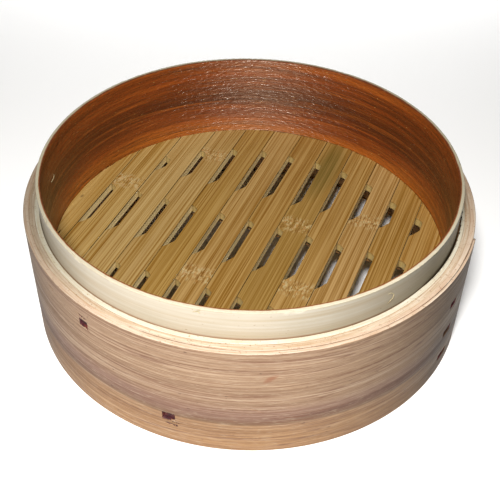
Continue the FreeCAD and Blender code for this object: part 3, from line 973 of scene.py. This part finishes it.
# Loose fibres on the collar and the inner wall: radius of the face, then azimuth, height and
# distance off the face of each point along the fibre.
FIBRES = {
    "curled_fibre": (R_COLLAR, [(-34.6, 85.5, 0.1), (-33.8, 86.0, 0.6), (-33.0, 84.5, 1.0),
                                (-33.2, 82.0, 0.9), (-33.9, 80.0, 0.5), (-34.2, 78.6, 0.1)]),
    "torn_fibre": (R_COLLAR, [(-81.6, 88.8, 0.05), (-80.9, 89.6, 0.2), (-80.2, 90.4, 0.3),
                              (-79.6, 90.9, 0.2)]),
    "short_fibre": (R_COLLAR, [(-80.6, 89.9, 0.15), (-80.1, 89.3, 0.3), (-79.8, 88.6, 0.1)]),
    "wall_fibre": (R_INNER, [(-165.5, 71.0, -0.1), (-164.2, 70.4, -0.6), (-163.0, 70.8, -0.7),
                             (-162.2, 70.0, -0.1)]),
}
FIBRE_RADIUS = 0.16
FIBRE_SIDES = 6


def make_fibre(name, face_radius, path):
    """A hair of bamboo: a thin tube that tapers to both ends."""
    knots = np.array(path)
    t = np.linspace(0, len(knots) - 1, 8 * (len(knots) - 1) + 1)
    along = [np.interp(t, np.arange(len(knots)), knots[:, k]) for k in range(3)]
    centres = turned(along[0], face_radius + along[2], along[1])
    points = []
    for k, centre in enumerate(centres):
        step = centres[min(k + 1, len(centres) - 1)] - centres[max(k - 1, 0)]
        step = step / np.linalg.norm(step)
        side = np.cross(step, centre / np.linalg.norm(centre))
        side = side / np.linalg.norm(side)
        other = np.cross(step, side)
        thick = FIBRE_RADIUS * (0.35 + 0.65 * math.sin(math.pi * (k + 0.5) / len(centres)))
        for turn in np.linspace(0, 2 * math.pi, FIBRE_SIDES + 1)[:-1]:
            points.append(centre + thick * (math.cos(turn) * side + math.sin(turn) * other))
    faces = loop_faces(len(centres), FIBRE_SIDES)
    return add_mesh(name, points, faces, [FIBRE], None)


make_outer_hoop()
make_core_hoop()
make_liner_hoop()
make_inner_hoop()
for fibre_name, (face_radius, fibre_path) in FIBRES.items():
    make_fibre(fibre_name, face_radius, fibre_path)


# --- pegs ---

def peg_block(azimuth, z, half, half_z, r_low, r_high, seed):
    """A flat peg that points outward. It stops short of the skirt's bore."""
    outward, along = axes_at(azimuth)
    r_low = max(r_low, R_SKIRT + 0.3)
    middle = (r_low + r_high) / 2
    return block(outward * middle + np.array([0, 0, z]), [outward, along, (0.0, 0.0, 1.0)],
                 ((r_high - r_low) / 2, half, half_z), (4, 16, 10), 0.35, 0.10, seed)


for group in PEG_NODES:
    built = [peg_block(*place, seed) for seed, (name, *place) in enumerate(PEGS) if name == group]
    blocks_piece(group + "_wood", built, PEG_AND_HOLE_SHADE, group)


# --- floor slats ---

def slots_of(node):
    """Each slot in a slat's left edge: Y where it starts and ends at the edge, and at its full depth."""
    low, high = box_mm(node)
    points = np.array([v.co for v in frame["nodes"][node].data.vertices]) / MM
    top = points[np.abs(points[:, 2] - high[2]) < 0.02]
    at_edge = np.unique(np.round(top[np.abs(top[:, 0] - low[0]) < 0.02, 1], 2))[1:-1]
    at_step = np.unique(np.round(top[np.abs(top[:, 0] - low[0] - SLOT_DEPTH) < 0.02, 1], 2))
    if len(at_edge) != len(at_step):
        return []
    return [(at_edge[k], at_step[k], at_step[k + 1], at_edge[k + 1]) for k in range(0, len(at_edge), 2)]


# Y of each knuckle.
KNUCKLES = {"slat_02": [21.0], "slat_04": [69.0], "slat_06": [-42.0], "slat_08": [21.0], "slat_09": [-32.0],
            "slat_10": [41.0]}
# Stains: X and Y of the centre, half size along X and Y, colour and weight.
STAINS = {
    "slat_08": [(22.0, 84.0, 9.0, 40.0, (126, 112, 54), 0.85)],
    "slat_01": [(-111.5, -4.0, 1.1, 2.0, (84, 52, 30), 0.95)],
    "slat_12": [(104.0, 0.0, 5.0, 46.0, (196, 132, 72), 0.35)],
}
# The darker and the paler tone of each slat, in the order of SLAT_NAMES.
SLAT_TONES = [
    ((206, 157, 80), (242, 204, 152)),
    ((200, 153, 76), (244, 208, 158)),
    ((200, 155, 86), (246, 212, 168)),
    ((194, 149, 80), (238, 202, 156)),
    ((190, 143, 66), (228, 188, 130)),
    ((190, 141, 70), (236, 196, 148)),
    ((188, 139, 64), (230, 188, 134)),
    ((180, 137, 64), (222, 182, 126)),
    ((188, 139, 66), (236, 194, 142)),
    ((192, 143, 78), (244, 202, 158)),
    ((188, 139, 64), (232, 188, 134)),
    ((196, 143, 68), (234, 190, 136)),
    ((188, 135, 66), (226, 182, 128)),
]
SLAT_DARK = (158, 104, 36)


def left_edge(y, x0, slots):
    """X of a slat's left edge at each Y. A slot's near end is scooped, its far end cut nearly square."""
    depth = np.zeros(y.shape)
    for start, step_start, step_end, end in slots:
        near = unit((y - start) / (step_start - start)) ** 0.75
        far = unit((end - y) / (end - step_end)) ** 0.5
        depth = np.maximum(depth, np.minimum(near, far))
    return x0 + SLOT_DEPTH * depth


def slat_stations(low, high, slots, knuckles):
    """Y of each section of a slat, closer together where its shape changes."""
    stations = [np.arange(low, high, 1.6), [high]]
    for start, step_start, step_end, end in slots:
        stations.append(np.linspace(start - 0.1, step_start + 0.1, 16))
        stations.append(np.linspace(step_end - 0.1, end + 0.1, 8))
    for centre in knuckles:
        stations.append(np.arange(centre - 6.0, centre + 6.0, 0.6))
    return np.unique(np.round(np.concatenate(stations), 3))


# Columns of a slat's section that follow its left edge: how far each is to the right of it.
LEFT_KINDS = {"left": 0.0, "lip": 0.02, "rounding": 0.12}


def make_slat(index, node):
    """One slat, swept along Y from sections that follow its slots and knuckles."""
    low, high = box_mm(node)
    x0, x1 = low[0], high[0]
    bottom, top = low[2], high[2]
    slots = slots_of(node)
    knuckles = KNUCKLES.get(node, [])
    tilt = swing(0.10, index * 1.7, 0.5, 50)
    lift = 0.16 * (noise(index * 2.3, 0.5, 51) - 0.75)
    edge = 0.35
    y = slat_stations(low[1], high[1], slots, knuckles)
    left = left_edge(y, x0, slots)
    # the outline of one section: up the left side, across the top, down the right side, back below
    side_z = np.array([bottom + 0.2, bottom + 1.4, bottom + 2.8, bottom + 4.2, top - edge])
    across = np.arange(x0 + edge, x1 - edge, 0.55)
    under = np.linspace(x1, x0, 9)
    columns = (
        [(None, z, "left") for z in side_z]
        + [(None, top, "lip"), (None, top, "rounding")]
        + [(x, top, "top") for x in across]
        + [(x, top, "top") for x in (x1 - edge, x1 - 0.10, x1)]
        + [(x1, z, "right") for z in side_z[::-1]]
        + [(x, bottom, "under") for x in under]
    )
    px = np.zeros((len(y), len(columns)))
    pz = np.zeros(px.shape)
    for k, (x, z, kind) in enumerate(columns):
        pz[:, k] = z
        if kind in LEFT_KINDS:
            px[:, k] = left + LEFT_KINDS[kind]
        elif kind == "top":
            px[:, k] = np.maximum(x, left + (0.35 if x < x1 - edge - 0.01 else 0.0))
        else:
            px[:, k] = np.maximum(x, left)
    kinds = np.array([kind for _, _, kind in columns])
    is_top = np.isin(kinds, ("top", "lip", "rounding"))
    py = np.broadcast_to(y[:, None], px.shape)
    near_edge = np.minimum(px - left[:, None], x1 - px)
    closeness = unit(1 - near_edge / edge)
    drop = edge * (1 - np.sqrt(unit(1 - closeness ** 2)))
    fibre = noise(px * 1.9, py / 30.0, 52 + index % 5) - 0.5
    wide = noise(px * 0.35, py / 60.0, 58) - 0.5
    rise = 0.14 * fibre + 0.16 * wide + tilt * (px - (x0 + x1) / 2) / 9.0 + lift
    for centre in knuckles:
        swelling = unit(1 - np.abs(py - centre) / 5.0)
        groove = unit(1 - np.abs(py - centre) / 0.9)
        rise = rise + swelling * (0.30 * noise(px * 1.3, py * 0.9, 60) - 0.05) - 0.22 * groove
    pz = pz + np.where(is_top, rise - drop, 0.0)
    pz = pz - np.where(kinds == "under", 0.25 * noise(px * 0.8, py / 20.0, 61), 0.0)
    # the sides are split bamboo, so they wander a little along their length
    sway = 0.10 * noise(py / 12.0, index * 0.7, 62)
    px = px - np.where(kinds == "right", sway, 0.0)
    # the wall cuts the slats to an arc
    px = np.clip(px, -R_FLOOR + 0.02, R_FLOOR - 0.02)
    half = np.sqrt(np.maximum(R_FLOOR ** 2 - px ** 2, 0.0))
    py = np.clip(py, -half, half)
    points = np.stack([px, py, pz], -1).reshape(-1, 3)
    sections, count = px.shape
    faces = loop_faces(sections, count)
    base, pale = SLAT_TONES[index]
    material = slat_top(node + "_bamboo", base, pale, SLAT_DARK, knuckles, STAINS.get(node, []))
    on_side = [kinds[j] == "right" and kinds[(j + 1) % count] == "right" for j in range(count)]
    indices = [int(side) for side in on_side] * (sections - 1) + [0, 0]
    return add_mesh(node + "_wood", points, faces, [material, SLAT_SIDE], node, indices)


for index, node in enumerate(SLAT_NAMES):
    make_slat(index, node)


# --- battens and their pins ---

def make_batten(node, seed):
    """One batten, a rough block along X."""
    low, high = box_mm(node)
    centre = (low + high) / 2
    half = (high - low) / 2
    points, faces = block(centre, np.eye(3), half, (110, 14, 6), 0.5, 0.12, seed)
    # the ends follow the hoop
    made = np.array(points)
    reach = np.sqrt(np.maximum((R_GLUE - 0.2) ** 2 - made[:, 1] ** 2, 0.0))
    made[:, 0] = np.clip(made[:, 0], -reach, reach)
    return blocks_piece(node + "_wood", [(list(made), faces)], BATTEN, node)


make_batten("batten_near", 3)
make_batten("batten_far", 7)


# A pin's outline, from its lower end up: share of the radius, which end it is measured from
# (0 low, 1 high) and height above that end.
PIN_PROFILE = [(0.0, 0, 0.0), (0.6, 0, 0.02), (0.9, 0, 0.08), (1.0, 0, 0.3), (1.0, 1, -0.2), (0.8, 1, 0.0),
               (0.0, 1, 0.0)]
PIN_SIDES = 16


def make_pins():
    """Pins are short rods whose lower ends show under the battens."""
    built = []
    for seed, solid in enumerate(islands("batten_pins")):
        low, high = solid.min(0), solid.max(0)
        x, y = (low[:2] + high[:2]) / 2
        radius = (high[0] - low[0]) / 2
        turns = np.linspace(0, 2 * math.pi, PIN_SIDES + 1)[:-1]
        points = []
        for share, end, above_end in PIN_PROFILE:
            z = (low, high)[end][2] + above_end
            for t in turns:
                r = radius * share * (1 + 0.05 * math.sin(3 * t + seed))
                points.append((x + r * math.cos(t), y + r * math.sin(t), z))
        built.append((points, loop_faces(len(PIN_PROFILE), PIN_SIDES)[:-2]))
    return blocks_piece("batten_pins_wood", built, PEG_AND_HOLE_SHADE, "batten_pins")


make_pins()


# --- floor, light and camera ---

def make_stage():
    """The plain pale surface that the basket stands on."""
    half = 40.0
    corners = [(-half, -half, 0), (half, -half, 0), (half, half, 0), (-half, half, 0)]
    mesh = bpy.data.meshes.new("stage_floor")
    mesh.from_pydata(corners, [], [(0, 1, 2, 3)])
    paint = Paint("stage_floor", roughness=0.9, specular=0.1)
    set_inputs(paint.shader, Base_Color=(0.93, 0.93, 0.93, 1.0))
    mesh.materials.append(paint.material)
    floor = placed("stage_floor", mesh)


KEY_POWER = 11.2
FILL_POWER = 18.0
WORLD_STRENGTH = 0.02
CAMERA_PLACE = Vector((0.1412, -0.3724, 0.3752))
CAMERA_AIM = Vector((-0.2654, 0.7041, -0.6586))
CAMERA_ROLL = math.radians(1.41)


def camera_axes():
    """Right, up and forward of the camera, with its roll."""
    forward = CAMERA_AIM.normalized()
    level = forward.cross(Vector((0, 0, 1))).normalized()
    upward = level.cross(forward)
    right = math.cos(CAMERA_ROLL) * level + math.sin(CAMERA_ROLL) * upward
    up = -math.sin(CAMERA_ROLL) * level + math.cos(CAMERA_ROLL) * upward
    return right, up, forward


def make_camera():
    """A camera at the photo's viewing angle."""
    right, up, forward = camera_axes()
    camera = bpy.data.cameras.new("camera")
    camera.lens = 62.77
    camera.sensor_width = 36.0
    camera.clip_start = 0.01
    holder = placed("camera", camera)
    matrix = Matrix((right, up, -forward)).transposed().to_4x4()
    matrix.translation = CAMERA_PLACE
    holder.matrix_world = matrix
    bpy.context.scene.camera = holder


def make_area_light(name, place, target, size, power, colour, spread=180.0):
    """A round lamp at place that shines at target."""
    lamp = bpy.data.lights.new(name, "AREA")
    lamp.shape = "DISK"
    lamp.size = size
    lamp.energy = power
    lamp.color = colour
    lamp.spread = math.radians(spread)
    holder = placed(name, lamp)
    holder.location = place
    holder.rotation_euler = (Vector(target) - Vector(place)).to_track_quat("-Z", "Y").to_euler()


def make_lights():
    """A small key beside the camera, and a soft lamp over the floor behind the basket."""
    right, up, forward = camera_axes()
    key = CAMERA_PLACE - forward * 0.25 + up * 0.16 - right * 0.05
    make_area_light("key", key, (0, 0, 0.05), 0.16, KEY_POWER, (1.0, 0.985, 0.96))
    behind = Vector((forward.x, forward.y, 0.0)).normalized() * 1.3
    above = behind + Vector((0, 0, 1.1))
    make_area_light("fill_behind", above, behind, 1.5, FILL_POWER, (1.0, 1.0, 1.0), spread=60.0)
    world = bpy.data.worlds.new("studio")
    world.use_nodes = True
    set_inputs(world.node_tree.nodes["Background"], Color=(1.0, 1.0, 1.0, 1.0), Strength=WORLD_STRENGTH)
    bpy.context.scene.world = world


make_stage()
make_camera()
make_lights()
bpy.context.scene.view_settings.view_transform = "Standard"
bpy.context.scene.view_settings.look = "None"
